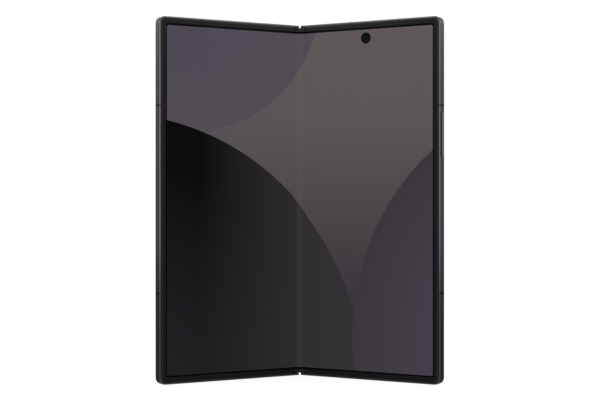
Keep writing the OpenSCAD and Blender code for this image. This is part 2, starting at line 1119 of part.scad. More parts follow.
module key_switches() {
    color(steel)
        right_half() {
            for (z = switch_z)
                block(
                    [switch_x, switch_front, z - switch_h / 2],
                    [key_flange_x - switch_gap, switch_back, z + switch_h / 2]
                );
            // Stop behind the volume key's pivot
            block(
                [switch_x, switch_front, volume_z - key_stop_h / 2],
                [key_flange_x - key_pivot_r - key_stop_gap, switch_back, volume_z + key_stop_h / 2]
            );
        }
}

module main_magnets() {
    color(steel)
        right_half()
            magnets();
}

// ---- Cover half, on the left ----

module cover_frame() {
    color(metal)
        left_half()
            difference() {
                half_frame();
                at_top() {
                    port_bar(tray_x, tray_y, tray_w + 2 * tray_clear, tray_h + 2 * tray_clear,
                        -eps, rail_w + eps);
                    for (x = earpiece_slots)
                        port_bar(x, mid_y, slot_w, slot_h, -eps, rail_w + eps);
                    end_hole(ear_mic_x, mid_y, mic_r);
                    // Hole for the tray's release pin
                    end_hole(release_x, tray_y, release_r);
                }
                end_hole(mic_x, mid_y, mic_r);
            }
}

module cover_midplate() {
    color(steel)
        left_half()
            difference() {
                midplate();
                arm_screw_holes();
            }
}

module cover_bezel() {
    color(dark)
        left_half()
            bezel();
}

module cover_antenna_breaks() {
    color(dark)
        left_half()
            antenna_breaks();
}

module cover_hinge_arms() {
    color(steel)
        left_half()
            hinge_arms(rest_fold + 180 / arm_teeth);
}

module cover_arm_screws() {
    color(steel)
        left_half()
            arm_screws();
}

module inner_display_left() {
    color(display_tone)
        left_half()
            display_panel();
}

module display_support_left() {
    color(steel)
        left_half()
            display_support();
}

module cover_glass() {
    color(black)
        left_half()
            cover_sheet();
}

module cover_glass_seal() {
    color(black)
        left_half()
            cover_seal();
}

module cover_display_panel() {
    color([0.07, 0.07, 0.09])
        left_half()
            difference() {
                inner_block(cover_display_area, cover_front - cover_display_t, cover_front);
                round_bar(cover_cam_x, cover_cam_z, cover_cam_r + camera_gap, 0, frame_t);
            }
}

module cover_camera() {
    side = 3.3;
    shoulder = 2.4;
    color(black)
        left_half() {
            block(
                [cover_cam_x - side, bay_front, cover_cam_z - side],
                [cover_cam_x + side, shoulder, cover_cam_z + side]
            );
            round_bar(cover_cam_x, cover_cam_z, cover_cam_r, shoulder, cover_front - coil_gap);
        }
}

module top_speaker() {
    color(black)
        left_half()
            inner_block(earpiece_area, bay_front, earpiece_back);
}

module cover_battery() {
    color(battery_tone)
        left_half()
            inner_block(cover_battery_area, bay_front, cover_battery_back);
}

module sub_board() {
    color(board_green)
        left_half()
            difference() {
                union() {
                    inner_block(sub_board_area, bay_front, bay_front + sub_board_t);
                    inner_block(sub_shield_area, bay_front, sub_shield_back);
                }
                for (x = sub_hole_x)
                    round_bar(x, sub_hole_z, board_hole_r, 0, frame_t);
            }
}

// The card tray: a face plate in the rail and a frame with a card window behind it
module sim_tray() {
    color(metal)
        left_half()
            at_top() {
                port_bar(tray_x, tray_y, tray_w, tray_h, 0, tray_face_t);
                difference() {
                    block(
                        [tray_x - tray_plate_w / 2, tray_y - tray_plate_t / 2, tray_face_t],
                        [tray_x + tray_plate_w / 2, tray_y + tray_plate_t / 2, tray_len]
                    );
                    block(
                        [tray_x - tray_window_half, tray_y - eps, tray_window[0]],
                        [tray_x + tray_window_half, tray_y + eps, tray_window[1]]
                    );
                }
            }
}

module sim_reader() {
    inside = reader_w / 2 - reader_wall;
    color(steel)
        left_half()
            at_top()
                difference() {
                    block(
                        [tray_x - reader_w / 2, reader_front, rail_w],
                        [tray_x + reader_w / 2, reader_back, tray_len + reader_deep]
                    );
                    block(
                        [tray_x - inside, reader_front + reader_wall, 0],
                        [tray_x + inside, reader_back - reader_wall, tray_len + reader_deep / 2]
                    );
                }
}

module cover_magnets() {
    color(steel)
        left_half()
            magnets();
}

hinge_spine_cover();
hinge_end_caps();
hinge_brackets();
pivot_pins();
idler_pins();
detent_cams();
detent_springs();
hinge_screws();
hinge_flex_cable();
inner_display_fold();
idler_gears_right();
idler_gears_left();
main_frame();
main_midplate();
main_bezel();
main_antenna_breaks();
main_hinge_arms();
main_arm_screws();
inner_display_right();
display_support_right();
inner_camera();
rear_cover();
rear_cover_seal();
camera_island();
camera_lens_rings();
camera_lens_glasses();
camera_modules();
flash_lens();
main_board();
board_shields();
main_battery();
charging_coil();
charging_board();
usb_c_receptacle();
bottom_speaker();
vibration_motor();
volume_key();
side_key();
key_switches();
main_magnets();
cover_frame();
cover_midplate();
cover_bezel();
cover_antenna_breaks();
cover_hinge_arms();
cover_arm_screws();
inner_display_left();
display_support_left();
cover_glass();
cover_glass_seal();
cover_display_panel();
cover_camera();
top_speaker();
cover_battery();
sub_board();
sim_tray();
sim_reader();
cover_magnets();
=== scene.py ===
import json
import math

import bmesh
import bpy
from mathutils import Matrix, Vector


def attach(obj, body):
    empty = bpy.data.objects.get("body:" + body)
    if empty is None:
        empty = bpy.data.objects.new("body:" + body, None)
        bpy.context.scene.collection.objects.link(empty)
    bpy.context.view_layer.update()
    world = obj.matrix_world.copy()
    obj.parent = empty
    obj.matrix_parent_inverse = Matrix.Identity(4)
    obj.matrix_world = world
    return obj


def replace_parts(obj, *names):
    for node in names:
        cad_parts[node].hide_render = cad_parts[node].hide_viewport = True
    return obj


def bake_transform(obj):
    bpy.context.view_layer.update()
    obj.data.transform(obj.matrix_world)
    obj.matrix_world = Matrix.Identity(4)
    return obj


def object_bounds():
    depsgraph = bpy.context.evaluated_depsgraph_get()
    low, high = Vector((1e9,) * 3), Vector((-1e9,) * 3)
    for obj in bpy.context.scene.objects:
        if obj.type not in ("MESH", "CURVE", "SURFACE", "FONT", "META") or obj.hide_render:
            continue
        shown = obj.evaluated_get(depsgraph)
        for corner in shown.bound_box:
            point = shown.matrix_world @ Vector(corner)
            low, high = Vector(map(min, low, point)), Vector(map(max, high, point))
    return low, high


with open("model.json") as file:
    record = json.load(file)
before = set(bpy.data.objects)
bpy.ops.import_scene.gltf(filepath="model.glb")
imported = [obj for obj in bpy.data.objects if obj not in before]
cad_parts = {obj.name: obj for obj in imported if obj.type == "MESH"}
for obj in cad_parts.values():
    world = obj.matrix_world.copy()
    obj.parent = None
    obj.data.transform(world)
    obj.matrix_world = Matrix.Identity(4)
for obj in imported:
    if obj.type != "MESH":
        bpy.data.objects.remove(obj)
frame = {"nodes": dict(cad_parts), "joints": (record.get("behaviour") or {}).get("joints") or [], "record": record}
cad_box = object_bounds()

# ---------------------------------------------------------------- sizes
# Lengths are in millimetres and are multiplied by MM where they meet the scene.
# A half's own frame has u outward from the fold, v back from the rail's front face and z up.
MM = 0.001
U, V = 0, 1

record = frame["record"]
joints = {joint["name"]: joint for joint in frame["joints"]}
mounts = {mount["name"]: mount for mount in record["mounts"]}

BODY_H = cad_box[1][2] / MM
PIVOT = Vector(joints["main_fold"]["pos_m"]) / MM
PIVOT_DEPTH = 1.75
back_normal = Vector(mounts["charger_face"]["axis"])
REST_FOLD = math.atan2(back_normal.x, back_normal.y)

# One half: width from the fold, thickness, radius of the outer corners, width of the rails
HALF_W = 71.6
FRAME_T = 4.2
CORNER_R = 3.0
RAIL_W = 1.6

# The inner display's panel, the stretch of it that bends, and how far that stays from the fold's ends
PANEL_INSET = 2.0
PANEL_FRONT = 0.1
PANEL_BACK = 0.5
BEND_HALF = 4.5
BEND_CUTS = 30
BEND_CUTS_END = 1.2 * BEND_HALF
FOLD_END = 3.05

# Its lit area, and the hole in it for the inner camera, whose place is u and z
ACTIVE_W = 68.0
ACTIVE_MARGIN = 3.75
ACTIVE_CORNER = 0.8
ACTIVE_SOFT = 0.05
PUNCH = (35.0, 150.9)
PUNCH_R = 2.5
PUNCH_SOFT = 0.03
INNER_LENS_R = 2.44

# The flat cable: the loop's points as they lie at rest, and the tail's in the half's own frame
CABLE_T = 0.15
CABLE_LOW, CABLE_HIGH = 74.0, 84.4
CABLE_LOOP = [(0.0, 2.75), (0.9, 2.7), (1.7, 2.45), (2.4, 1.9)]
CABLE_TAIL = [(3.6, 1.45), (4.4, 1.45), (5.4, 1.45), (9.4, 1.45)]

# The raised bezels: how proud they stand, how far their edges lie from the half's, and their rounding
BEZEL_PROUD = 0.2
BEZEL_OUTER = 1.15
BEZEL_INNER = 3.05
BEZEL_START = 4.0
BEZEL_WINDOW_R = 0.5
BEZEL_EDGE = 0.17
BEZEL_LAP = 0.05

# The keys; the two pairs are the height of a key's middle and its length
KEY_DEPTH = 1.95
KEY_H = 1.3
KEY_FLANGE_U = HALF_W - RAIL_W - 0.6
KEY_FLANGE_T = 0.3
KEY_FLANGE_OVER = 0.6
VOLUME_KEY = (107.45, 18.9)
VOLUME_PROUD = 0.65
VOLUME_EDGE = 0.25
SIDE_KEY = (85.75, 13.1)
SIDE_EDGE = 0.05

# The glass sheets on the back
SHEET_INSET = 0.85
SHEET_START = 4.55
SHEET_FRONT = 3.6
SHEET_EDGE = 0.2

# The rear cameras: island, rings, stepped wells and domed lenses, with depths from the rail's front
LENS_U = 60.0
LENS_ZS = (110.0, 126.5, 143.0)
LENS_BORE = 4.75
ISLAND_R = 8.5
ISLAND_FRONT = 3.4
ISLAND_BACK = 5.9
ISLAND_EDGE = 0.4
ISLAND_GAP = 0.05
RING_R = 6.8
RING_IN = 5.4
RING_BACK = 6.9
WELL_R = 5.38
WELL_BACK = 6.6
WELL_STEP = 6.3
WELL_FLOOR = 6.06
DOME_R = 2.8
DOME_FOOT = 6.1
DOME_CROWN = 0.34

# Flash and cover camera, with their places as u and z
FLASH = (47.0, 143.0)
FLASH_R = 1.95
FLASH_HOLE_R = 2.0
COVER_CAMERA = (37.6, 152.0)
COVER_LENS_R = 1.68
COVER_LENS_BACK = 4.15
COVER_RECESS_R = 1.7
COVER_RECESS = 3.9

# The charging port's middle as u and v, and the stretches of u that the acoustic meshes cover
PORT = (35.8, 2.1)
SPEAKER_SLOTS = (54.3, 65.3)
EARPIECE_SLOT = (15.4, 24.2)
MESH_FRONT, MESH_BACK = 1.5, 2.5
MESH_LOW, MESH_HIGH = 1.62, 1.78

# The photograph's view, in millimetres and in its pixels
CAMERA_DISTANCE = 674.0
CAMERA_SIDE = 0.08
CAMERA_DROP = 0.04
FOCAL_PIXELS = 1488.2
IMAGE_W = 600
SENSOR_W = 36.0

# ---------------------------------------------------------------- the two halves
RIGHT, LEFT = 1, -1
HALF_BODY = {RIGHT: "main_half", LEFT: "cover_half"}
MIRROR = {RIGHT: Matrix.Identity(4), LEFT: Matrix.Scale(-1, 4, (1, 0, 0))}


def half_place(side):
    """The matrix from a half's own frame to the scene."""
    return (
        MIRROR[side]
        @ Matrix.Scale(MM, 4)
        @ Matrix.Translation((PIVOT.x, PIVOT.y, 0))
        @ Matrix.Rotation(-REST_FOLD, 4, "Z")
        @ Matrix.Translation((-PIVOT.x, -PIVOT_DEPTH, 0))
    )


def spine_place(side):
    """The matrix to the scene for a mesh that is made where it lies at rest, seen from the fold plane."""
    return MIRROR[side] @ Matrix.Scale(MM, 4) @ Matrix.Translation((0, PIVOT.y - PIVOT_DEPTH, 0))


def folded(u, v, share=1.0):
    """Where a point of a flat half lies after a share of the rest fold, seen from the fold plane."""
    angle = share * REST_FOLD
    du, dv = u - PIVOT.x, v - PIVOT_DEPTH
    return (
        PIVOT.x + du * math.cos(angle) + dv * math.sin(angle),
        PIVOT_DEPTH - du * math.sin(angle) + dv * math.cos(angle),
    )


# ---------------------------------------------------------------- mesh helpers
FLAT_TOLERANCE = 1e-4
WELD = 1e-5
CORNER_TURN = math.radians(25)
ALONG_COSINE = 0.999
# Two rounds that share a face stop this far short of its middle
ROUND_SHORT = 0.005
# How far a cutter reaches past what it cuts
CLEAR = 1.0
# The length that is 1 in a turned part's and in the display's UV map
TURNED_UV_LENGTH = 10
FLAT_UV_LENGTH = 100


def new_block(low, high):
    """A block between two opposite corners."""
    bm = bmesh.new()
    low, high = Vector(low), Vector(high)
    matrix = Matrix.Translation((low + high) / 2) @ Matrix.Diagonal((*(high - low), 1))
    bmesh.ops.create_cube(bm, size=1, matrix=matrix)
    return bm


def edges_where(bm, test):
    """The edges that turn a corner and pass the test."""
    return [
        edge for edge in bm.edges
        if len(edge.link_faces) == 2 and edge.calc_face_angle() > CORNER_TURN and test(edge)
    ]


def along(edge, axis):
    """Whether an edge runs along the axis."""
    line = (edge.verts[1].co - edge.verts[0].co).normalized()
    return abs(line[axis]) > ALONG_COSINE


def on_plane(edge, axis, level):
    """Whether an edge lies in the plane at this level of the axis."""
    return all(abs(vert.co[axis] - level) < FLAT_TOLERANCE for vert in edge.verts)


def round_off(bm, edges, radius, segments):
    """Rounds the edges to the radius."""
    bmesh.ops.bevel(
        bm, geom=edges, offset=radius, offset_type="OFFSET", segments=segments,
        profile=0.5, affect="EDGES", clamp_overlap=True, material=-1,
    )


def round_sides(bm, axis, radius, segments):
    """Rounds the edges that run along the axis."""
    round_off(bm, edges_where(bm, lambda edge: along(edge, axis)), radius, segments)


def soften_rim(bm, axis, level, radius, segments):
    """Rounds the edges of the face that lies at this level of the axis."""
    round_off(bm, edges_where(bm, lambda edge: on_plane(edge, axis, level)), radius, segments)


def half_plate(inset, start, corner, front, back, segments):
    """A plate of one half, set in from its three outer edges, with round outer corners."""
    outer = HALF_W - inset
    bm = new_block((start, front, inset), (outer, back, BODY_H - inset))
    corners = edges_where(bm, lambda edge: along(edge, V) and on_plane(edge, U, outer))
    round_off(bm, corners, corner, segments)
    return bm


def capsule(u, low, high, radius, front, back, segments):
    """A plate with a round end about the height low and one about high."""
    bm = new_block((u - radius, front, low - radius), (u + radius, back, high + radius))
    round_sides(bm, V, radius - ROUND_SHORT, segments)
    return bm


def lathe(profile, u, z, steps=64):
    """A part turned about a line along v, through u and z; the profile lists radius and depth."""
    bm = bmesh.new()
    verts = [bm.verts.new((radius, 0, depth)) for radius, depth in profile]
    edges = [bm.edges.new(pair) for pair in zip(verts, verts[1:])]
    bmesh.ops.spin(
        bm, geom=verts + edges, cent=(0, 0, 0), axis=(0, 0, 1), angle=2 * math.pi,
        steps=steps, use_merge=True, use_duplicate=False,
    )
    bmesh.ops.remove_doubles(bm, verts=bm.verts, dist=WELD)
    bmesh.ops.recalc_face_normals(bm, faces=bm.faces)
    layer = bm.loops.layers.uv.new("turned")
    for face in bm.faces:
        for loop in face.loops:
            spot = loop.vert.co
            loop[layer].uv = (math.hypot(spot.x, spot.y) / TURNED_UV_LENGTH, spot.z / TURNED_UV_LENGTH)
    turn = Matrix.Rotation(-math.pi / 2, 4, "X")
    bmesh.ops.transform(bm, matrix=Matrix.Translation((u, 0, z)) @ turn, verts=bm.verts)
    return bm


def disc(u, z, radius, front, back):
    """A round plate, or the cutter for a round hole."""
    return lathe([(0, front), (radius, front), (radius, back), (0, back)], u, z)


def cut_across(bm, places):
    """Cuts the mesh through at each place along u, so that it can bend there."""
    for u in places:
        bmesh.ops.bisect_plane(
            bm, geom=bm.verts[:] + bm.edges[:] + bm.faces[:], dist=1e-6,
            plane_co=(u, 0, 0), plane_no=(1, 0, 0),
        )


def joined(*parts):
    """One bmesh that holds every part."""
    whole = parts[0]
    for part in parts[1:]:
        mesh = bpy.data.meshes.new("part")
        part.to_mesh(mesh)
        part.free()
        whole.from_mesh(mesh)
        bpy.data.meshes.remove(mesh)
    return whole


def new_object(name, bm):
    """An object of the scene made from the bmesh, which is used up."""
    mesh = bpy.data.meshes.new(name)
    bm.to_mesh(mesh)
    bm.free()
    obj = bpy.data.objects.new(name, mesh)
    bpy.context.scene.collection.objects.link(obj)
    return obj


def carved(bm, *cutters):
    """bm with the cutters' space taken out of it."""
    blank = new_object("blank", bm)
    tools = [new_object("blank", cutter) for cutter in cutters]
    for tool in tools:
        modifier = blank.modifiers.new("cut", "BOOLEAN")
        modifier.operation = "DIFFERENCE"
        modifier.solver = "MANIFOLD"
        modifier.object = tool
    bpy.context.view_layer.update()
    result = bmesh.new()
    evaluated = blank.evaluated_get(bpy.context.evaluated_depsgraph_get())
    result.from_mesh(evaluated.data)
    for obj in [blank] + tools:
        mesh = obj.data
        bpy.data.objects.remove(obj)
        bpy.data.meshes.remove(mesh)
    bmesh.ops.remove_doubles(result, verts=result.verts, dist=WELD)
    return result


def piece(name, bm, place, body, material, crease=30):
    """Puts a finished mesh in its place, gives it its finish and lets it ride on a body, if one is named."""
    bmesh.ops.transform(bm, matrix=place, verts=bm.verts)
    if place.determinant() < 0:
        bmesh.ops.reverse_faces(bm, faces=bm.faces)
    obj = new_object(name, bm)
    obj.data.shade_smooth()
    obj.data.set_sharp_from_angle(angle=math.radians(crease))
    obj.data.materials.append(material)
    if body:
        # Large flat faces keep their own normals beside small round ones
        modifier = obj.modifiers.new("normals", "WEIGHTED_NORMAL")
        modifier.mode = "FACE_AREA"
        modifier.keep_sharp = True
        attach(obj, body)
    return obj


def half_piece(name, bm, side, material, crease=30):
    """A piece that is made in a half's own frame and rides on that half."""
    return piece(name, bm, half_place(side), HALF_BODY[side], material, crease)


def bending_piece(name, bm, side, material):
    """A piece made in its bent shape where it lies at rest, seen from the fold plane, with its place baked into
    its mesh.
    """
    obj = piece(name, bm, spine_place(side), None, material)
    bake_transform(obj)
    return obj


# ---------------------------------------------------------------- shader helpers
class Tree:
    """Adds nodes to a material's, a group's or the world's tree and links them."""

    def __init__(self, tree):
        self.tree = tree

    def add(self, kind, **settings):
        node = self.tree.nodes.new(kind)
        for key, value in settings.items():
            setattr(node, key, value)
        return node

    def link(self, source, target):
        self.tree.links.new(source, target)

    def feed(self, target, value):
        if isinstance(value, bpy.types.NodeSocket):
            self.link(value, target)
        else:
            target.default_value = value

    def place(self, group, **values):
        """A node group with its own values; returns its outputs."""
        node = self.add("ShaderNodeGroup", node_tree=group)
        for label, value in values.items():
            self.feed(node.inputs[label], value)
        return node.outputs

    def math(self, operation, *values, clamp=False):
        node = self.add("ShaderNodeMath", operation=operation, use_clamp=clamp)
        for socket, value in zip(node.inputs, values):
            self.feed(socket, value)
        return node.outputs[0]

    def measure(self, operation, *vectors):
        """The number that a vector operation gives, such as a length."""
        node = self.add("ShaderNodeVectorMath", operation=operation)
        for socket, value in zip(node.inputs, vectors):
            self.feed(socket, value)
        return node.outputs["Value"]

    def split(self, vector):
        node = self.add("ShaderNodeSeparateXYZ")
        self.link(vector, node.inputs[0])
        return tuple(node.outputs)

    def span(self, value, from_low, from_high, to_low=0.0, to_high=1.0, smooth=False):
        node = self.add("ShaderNodeMapRange", clamp=True)
        node.interpolation_type = "SMOOTHSTEP" if smooth else "LINEAR"
        for name, number in (
            ("Value", value), ("From Min", from_low), ("From Max", from_high),
            ("To Min", to_low), ("To Max", to_high),
        ):
            self.feed(node.inputs[name], number)
        return node.outputs["Result"]

    def mix(self, factor, a, b):
        node = self.add("ShaderNodeMix", data_type="RGBA")
        self.feed(node.inputs[0], factor)
        self.feed(node.inputs[6], a)
        self.feed(node.inputs[7], b)
        return node.outputs[2]

    def ramp(self, factor, stops):
        """Blends from colour to colour through the stops, each a position and a colour."""
        node = self.add("ShaderNodeValToRGB")
        self.link(factor, node.inputs[0])
        elements = node.color_ramp.elements
        elements[0].position, elements[0].color = stops[0]
        elements[1].position, elements[1].color = stops[-1]
        for position, tone in stops[1:-1]:
            elements.new(position).color = tone
        return node.outputs[0]

    def noise(self, vector, scale, detail, rough=0.5):
        node = self.add("ShaderNodeTexNoise")
        self.feed(node.inputs["Vector"], vector)
        self.feed(node.inputs["Scale"], scale)
        node.inputs["Detail"].default_value = detail
        node.inputs["Roughness"].default_value = rough
        return node.outputs["Fac"]

    def bump(self, height, strength, distance):
        """A Bump node; distance is in metres."""
        node = self.add("ShaderNodeBump")
        node.inputs["Strength"].default_value = strength
        node.inputs["Distance"].default_value = distance
        self.link(height, node.inputs["Height"])
        return node


def shader_group(name, inputs, outputs):
    """A new node group; returns it, its tree helper and its input and output sockets by name."""
    group = bpy.data.node_groups.new(name, "ShaderNodeTree")
    for label, kind, default in inputs:
        socket = group.interface.new_socket(label, in_out="INPUT", socket_type=kind)
        if default is not None:
            socket.default_value = default
    for label, kind in outputs:
        group.interface.new_socket(label, in_out="OUTPUT", socket_type=kind)
    tree = Tree(group)
    source = tree.add("NodeGroupInput").outputs
    target = tree.add("NodeGroupOutput").inputs
    return group, tree, source, target


FLOAT, VECTOR = "NodeSocketFloat", "NodeSocketVector"


def srgb(r, g, b):
    """An 8-bit screen colour as the linear colour that a node takes."""
    def linear(channel):
        c = channel / 255
        return c / 12.92 if c <= 0.04045 else ((c + 0.055) / 1.055) ** 2.4
    return (linear(r), linear(g), linear(b), 1.0)


def shaded(tone, factor=1.0, lift=0.0):
    """A tone, times a factor and lifted, as the colour that a node takes."""
    return tuple(min(1.0, factor * c + lift) for c in tone) + (1.0,)


# ---------------------------------------------------------------- shared effects
def edge_wear_group():
    """Where sharp edges are rubbed, from the turn between the flat and a rounded normal."""
    group, t, source, target = shader_group(
        "Edge wear",
        [("Vector", VECTOR, None), ("Radius", FLOAT, 0.0002), ("Amount", FLOAT, 0.5)],
        [("Mask", FLOAT), ("Normal", VECTOR)],
    )
    bevel = t.add("ShaderNodeBevel", samples=6)
    t.link(source["Radius"], bevel.inputs["Radius"])
    geometry = t.add("ShaderNodeNewGeometry")
    flat = t.measure("DOT_PRODUCT", bevel.outputs[0], geometry.outputs["True Normal"])
    turn = t.span(flat, 0.995, 0.9)
    patches = t.span(t.noise(source["Vector"], scale=260.0, detail=4.0, rough=0.65), 0.35, 0.75)
    t.link(t.math("MULTIPLY", t.math("MULTIPLY", turn, patches), source["Amount"]), target["Mask"])
    t.link(bevel.outputs[0], target["Normal"])
    return group


def grain_group():
    """Fine blasted grain: a height for bump and a small change in roughness."""
    group, t, source, target = shader_group(
        "Fine grain",
        [("Vector", VECTOR, None), ("Scale", FLOAT, 9000.0), ("Low", FLOAT, 0.3), ("High", FLOAT, 0.4)],
        [("Height", FLOAT), ("Roughness", FLOAT)],
    )
    fine = t.noise(source["Vector"], scale=source["Scale"], detail=3.0, rough=0.6)
    broad = t.noise(source["Vector"], scale=55.0, detail=3.0, rough=0.55)
    t.link(fine, target["Height"])
    both = t.math("ADD", t.math("MULTIPLY", fine, 0.35), t.math("MULTIPLY", broad, 0.65))
    t.link(t.span(both, 0.3, 0.7, source["Low"], source["High"]), target["Roughness"])
    return group


def smudge_group():
    """Faint finger smears that dull a polished surface."""
    group, t, source, target = shader_group(
        "Smudges",
        [("Vector", VECTOR, None), ("Low", FLOAT, 0.05), ("High", FLOAT, 0.16)],
        [("Roughness", FLOAT), ("Mask", FLOAT)],
    )
    stretch = t.add("ShaderNodeMapping")
    t.link(source["Vector"], stretch.inputs["Vector"])
    stretch.inputs["Rotation"].default_value = (0.4, 0.3, 0.7)
    stretch.inputs["Scale"].default_value = (1.0, 1.0, 0.45)
    streaks = t.span(t.noise(stretch.outputs[0], scale=70.0, detail=5.0, rough=0.6), 0.45, 0.75)
    areas = t.span(t.noise(source["Vector"], scale=22.0, detail=2.0), 0.42, 0.62)
    mask = t.math("MULTIPLY", streaks, areas)
    t.link(mask, target["Mask"])
    t.link(t.span(mask, 0.0, 1.0, source["Low"], source["High"]), target["Roughness"])
    return group


def facing_group():
    """How much a face of either half looks the way its display does, and how much away from the fold."""
    group, t, source, target = shader_group(
        "Front facing", [("Vector", VECTOR, None)], [("Front", FLOAT), ("Outer", FLOAT)]
    )
    normal = t.add("ShaderNodeNewGeometry").outputs["True Normal"]
    local = t.add("ShaderNodeVectorTransform", vector_type="NORMAL")
    local.convert_from, local.convert_to = "WORLD", "OBJECT"
    t.link(normal, local.inputs[0])
    sideways, backward, _ = t.split(local.outputs[0])
    from_fold, _, _ = t.split(source["Vector"])
    outward = t.math("MULTIPLY", sideways, t.math("SIGN", from_fold))

    def turned(outward_share, backward_share):
        across = t.math("MULTIPLY", outward, outward_share)
        return t.math("ADD", across, t.math("MULTIPLY", backward, backward_share))

    t.link(turned(-math.sin(REST_FOLD), -math.cos(REST_FOLD)), target["Front"])
    t.link(turned(math.cos(REST_FOLD), -math.sin(REST_FOLD)), target["Outer"])
    return group


def disc_group():
    """A disc on the wallpaper: a crisp mask, and how far inside its rim a point lies."""
    group, t, source, target = shader_group(
        "Wallpaper disc",
        [("Vector", VECTOR, None), ("Centre", VECTOR, None), ("Radius", FLOAT, 1.0), ("Fade", FLOAT, 0.5)],
        [("Inside", FLOAT), ("Depth", FLOAT)],
    )
    distance = t.measure("DISTANCE", source["Vector"], source["Centre"])
    depth = t.math("SUBTRACT", source["Radius"], distance)
    t.link(t.span(depth, -0.001, 0.001, smooth=True), target["Inside"])
    t.link(t.math("DIVIDE", depth, source["Fade"], clamp=True), target["Depth"])
    return group


EDGE_WEAR = edge_wear_group()
FACING = facing_group()
GRAIN = grain_group()
SMUDGES = smudge_group()
PICTURE_DISC = disc_group()


# ---------------------------------------------------------------- kinds of material
# Here the radius of a rounded edge and the grain's depth are in metres.
# A rough pair is the lowest and the highest roughness.
GRAIN_DEPTH = 0.00002


def new_material(name, **settings):
    """A material with one Principled BSDF; settings go on the shader's own sockets."""
    material = bpy.data.materials.new(name)
    material.use_nodes = True
    t = Tree(material.node_tree)
    sockets = material.node_tree.nodes["Principled BSDF"].inputs
    for label, value in settings.items():
        sockets[label.replace("_", " ")].default_value = value
    spot = t.add("ShaderNodeTexCoord").outputs["Object"]
    return material, t, sockets, spot


def clouded(t, spot, tone, scale, darkest):
    """The tone, with soft clouds down to this share of it."""
    cloud = t.span(t.noise(spot, scale, detail=3.0), 0.3, 0.7)
    return t.mix(cloud, shaded(tone, darkest), shaded(tone))


def grained(t, sockets, spot, rough, edge, wear, grain_scale, strength):
    """Rounds sharp edges and lays a grain on the surface; returns the wear's mask and the roughness."""
    rubbed = t.place(EDGE_WEAR, Vector=spot, Radius=edge, Amount=wear)
    grain = t.place(GRAIN, Vector=spot, Scale=grain_scale, Low=rough[0], High=rough[1])
    bump = t.bump(grain["Height"], strength, GRAIN_DEPTH)
    t.link(rubbed["Normal"], bump.inputs["Normal"])
    t.link(bump.outputs[0], sockets["Normal"])
    return rubbed["Mask"], grain["Roughness"]


def metal(name, tone, worn_tone, rough, wear=0.5, grain_scale=9000.0):
    """Blasted and coloured metal, rubbed paler along its edges."""
    material, t, sockets, spot = new_material(name, Metallic=1.0)
    rubbed, roughness = grained(
        t, sockets, spot, rough, edge=0.00012, wear=wear, grain_scale=grain_scale, strength=0.12
    )
    shade = clouded(t, spot, tone, scale=90.0, darkest=0.93)
    t.link(t.mix(rubbed, shade, shaded(worn_tone)), sockets["Base Color"])
    t.link(roughness, sockets["Roughness"])
    return material


def rail_metal(name, tone, cut_and_sheen_tone, rough, grazing=0.5, front_plain=0.98, metallic=1.0):
    """Blasted rail metal, brighter on faces that slant to the front but less than front_plain: partly a polished
    cut, partly a painted highlight.
    """
    material, t, sockets, spot = new_material(name, Metallic=metallic, Specular_Tint=shaded([grazing] * 3))
    rubbed, roughness = grained(
        t, sockets, spot, rough, edge=0.00006, wear=0.12, grain_scale=9000.0, strength=0.05
    )
    front = t.place(FACING, Vector=spot)["Front"]
    # Partly a real polished cut, partly a painted highlight: faces that slant to the front take the brighter tone.
    cut = t.math("MULTIPLY", t.span(front, 0.5, 0.7), t.span(front, front_plain, front_plain - 0.05))
    shade = clouded(t, spot, tone, scale=60.0, darkest=0.94)
    outside_cut_and_sheen = t.math("SUBTRACT", 1.0, cut)
    shade = t.mix(t.math("MULTIPLY", rubbed, outside_cut_and_sheen), shade, shaded(cut_and_sheen_tone))
    t.link(t.mix(cut, shade, shaded(cut_and_sheen_tone)), sockets["Base Color"])
    t.link(t.math("MULTIPLY", roughness, t.span(cut, 0.0, 1.0, 1.0, 0.45)), sockets["Roughness"])
    return material


def moulded(name, tone, rough, grain_scale=5000.0, strength=0.2, specular=0.5, wear=0.3, rim=None):
    """Moulded polymer with a fine texture, and with a painted highlight of the rim tone on its outer edge if it
    has one.
    """
    material, t, sockets, spot = new_material(name, Specular_IOR_Level=specular)
    rubbed, roughness = grained(
        t, sockets, spot, rough, edge=0.00008, wear=wear, grain_scale=grain_scale, strength=strength
    )
    shade = t.mix(rubbed, shaded(tone), shaded(tone, factor=1.8, lift=0.004))
    # Painted highlight: faces that turn from the front to the outer side take the rim tone.
    if rim:
        facing = t.place(FACING, Vector=spot)
        turned = t.math("MULTIPLY", t.span(facing["Outer"], 0.15, 0.4), t.span(facing["Front"], 0.1, 0.4))
        shade = t.mix(turned, shade, shaded(rim))
    t.link(shade, sockets["Base Color"])
    t.link(roughness, sockets["Roughness"])
    return material


def polished(name, tone, rough, specular):
    """Glass with faint smears and slightly rounded edges."""
    material, t, sockets, spot = new_material(name, Specular_IOR_Level=specular)
    smears = t.place(SMUDGES, Vector=spot, Low=rough[0], High=rough[1])
    rubbed = t.place(EDGE_WEAR, Vector=spot, Radius=0.0001, Amount=0.2)
    t.link(t.mix(smears["Mask"], shaded(tone), shaded(tone, lift=0.006)), sockets["Base Color"])
    t.link(smears["Roughness"], sockets["Roughness"])
    t.link(rubbed["Normal"], sockets["Normal"])
    return material


